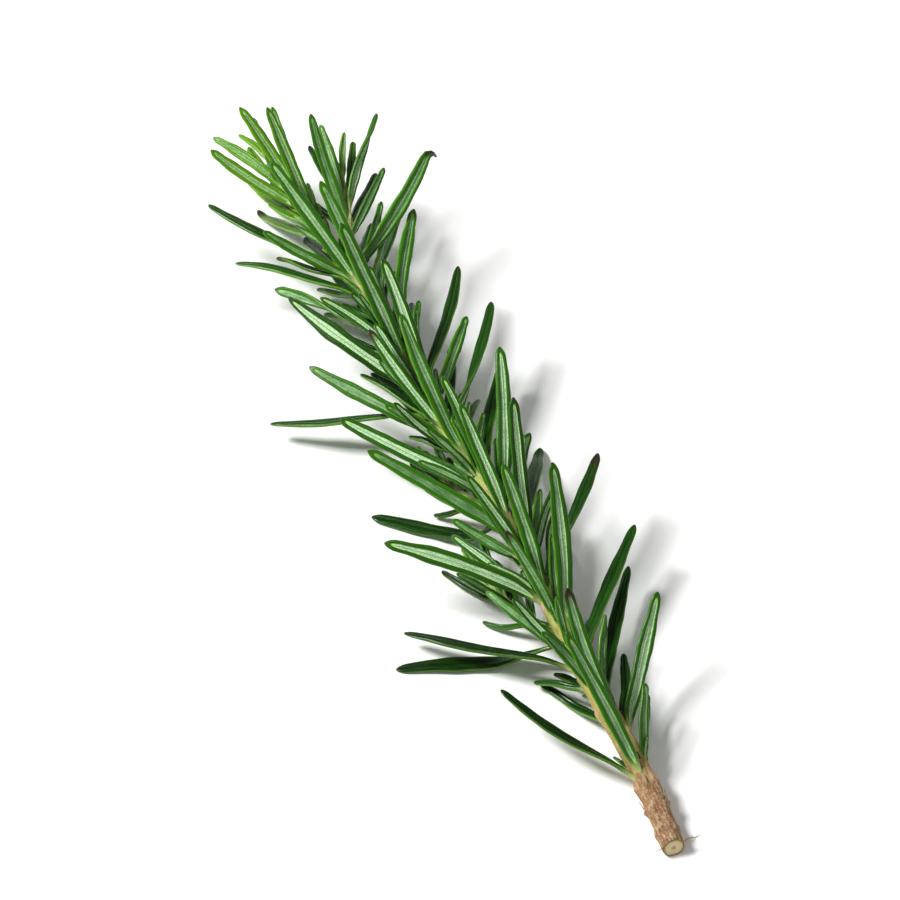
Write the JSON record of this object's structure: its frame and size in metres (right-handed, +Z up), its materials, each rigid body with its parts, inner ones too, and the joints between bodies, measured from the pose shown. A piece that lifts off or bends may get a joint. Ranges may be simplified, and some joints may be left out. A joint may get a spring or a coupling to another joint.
{
  "type": "rosemary sprig",
  "caption": "Freshly cut sprig of rosemary lying down: woody cut end, leafy stem with crossed pairs of narrow needle leaves, and young side shoots.",
  "frame": {"origin": "on the small flat spot under the cut end, on the surface that the sprig lies on", "axes": "+Y from the cut end towards the growing tip, +Z up, X across"},
  "size_m": [0.0512, 0.179, 0.029],
  "materials": {
    "bark": "matte",
    "foliage": "satin",
    "young_foliage": "satin"
  },
  "bodies": {
    "root": {"woody_base": "bark", "leafy_stem": "foliage", "side_shoot_1": "young_foliage", "side_shoot_2": "young_foliage", "side_shoot_3": "young_foliage"}
  },
  "joints": []
}
